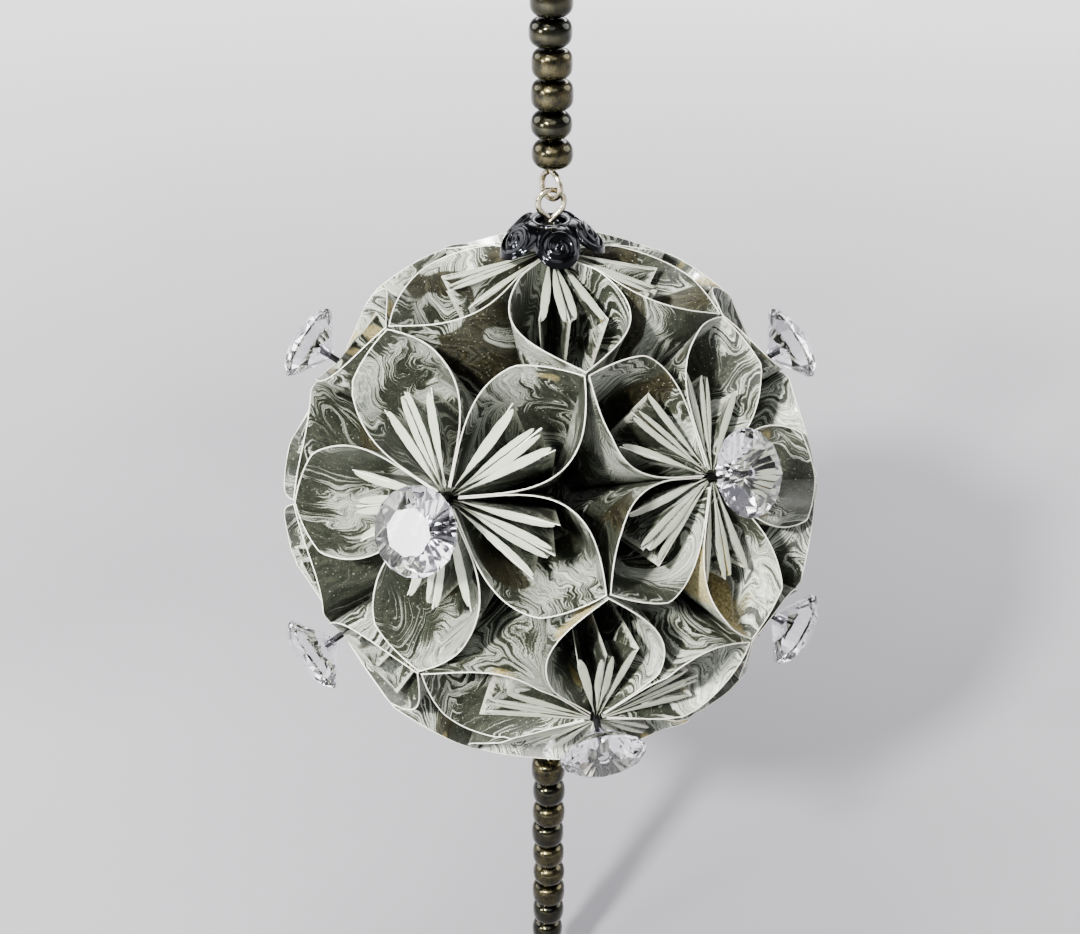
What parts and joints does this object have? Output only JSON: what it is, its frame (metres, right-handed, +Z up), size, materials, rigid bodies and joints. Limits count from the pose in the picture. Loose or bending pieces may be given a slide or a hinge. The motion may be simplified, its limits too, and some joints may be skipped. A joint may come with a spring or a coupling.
{
  "type": "kusudama paper ball",
  "caption": "Round ball of folded paper flowers with faceted stones on pins, hung on a beaded wire strand with a second strand below.",
  "frame": {"origin": "centre of the hanging eye at the upper strand's end", "axes": "+Z up along the strands, -Y towards the front, where the picture's camera stands, and +X to its right"},
  "size_m": [0.0703, 0.0717, 0.1588],
  "materials": {
    "paper": "satin",
    "acrylic": "polished",
    "black_steel": "black",
    "gunmetal": "blackened gloss",
    "gold_wire": "pale gold",
    "bronze_glass": "metallic bronze"
  },
  "bodies": {
    "upper_strand": {"upper_bead_1": "bronze_glass", "upper_bead_2": "bronze_glass", "upper_bead_3": "bronze_glass", "upper_bead_4": "bronze_glass", "upper_bead_5": "bronze_glass", "upper_bead_6": "bronze_glass", "upper_bead_7": "bronze_glass", "upper_wire": "gold_wire"},
    "ball": {"bead_cap": "gunmetal", "eye_pin_bottom": "gold_wire", "eye_pin_top": "gold_wire", "flower_bottom": "paper", "flower_lower_1": "paper", "flower_lower_2": "paper", "flower_lower_3": "paper", "flower_lower_4": "paper", "flower_lower_5": "paper", "flower_top": "paper", "flower_upper_1": "paper", "flower_upper_2": "paper", "flower_upper_3": "paper", "flower_upper_4": "paper", "flower_upper_5": "paper", "pin_lower_1": "black_steel", "pin_lower_2": "black_steel", "pin_lower_3": "black_steel", "pin_lower_4": "black_steel", "pin_lower_5": "black_steel", "pin_upper_1": "black_steel", "pin_upper_2": "black_steel", "pin_upper_3": "black_steel", "pin_upper_4": "black_steel", "pin_upper_5": "black_steel", "stone_lower_1": "acrylic", "stone_lower_2": "acrylic", "stone_lower_3": "acrylic", "stone_lower_4": "acrylic", "stone_lower_5": "acrylic", "stone_upper_1": "acrylic", "stone_upper_2": "acrylic", "stone_upper_3": "acrylic", "stone_upper_4": "acrylic", "stone_upper_5": "acrylic"},
    "lower_strand": {"lower_bead_1": "bronze_glass", "lower_bead_2": "bronze_glass", "lower_bead_3": "bronze_glass", "lower_bead_4": "bronze_glass", "lower_bead_5": "bronze_glass", "lower_bead_6": "bronze_glass", "lower_bead_7": "bronze_glass", "lower_bead_8": "bronze_glass", "lower_bead_9": "bronze_glass", "lower_wire": "gold_wire"}
  },
  "joints": [
    {"name": "ball_swing", "type": "hinge", "parent": "upper_strand", "child": "ball", "pos_m": [0, 0, -0.03079], "axis": [0.6561, -0.7547, 0], "range_deg": [-35, 35]},
    {"name": "lower_strand_swing", "type": "hinge", "parent": "ball", "child": "lower_strand", "pos_m": [0, 0, -0.11349], "axis": [0.9613, 0.2756, 0], "range_deg": [-35, 35]}
  ]
}
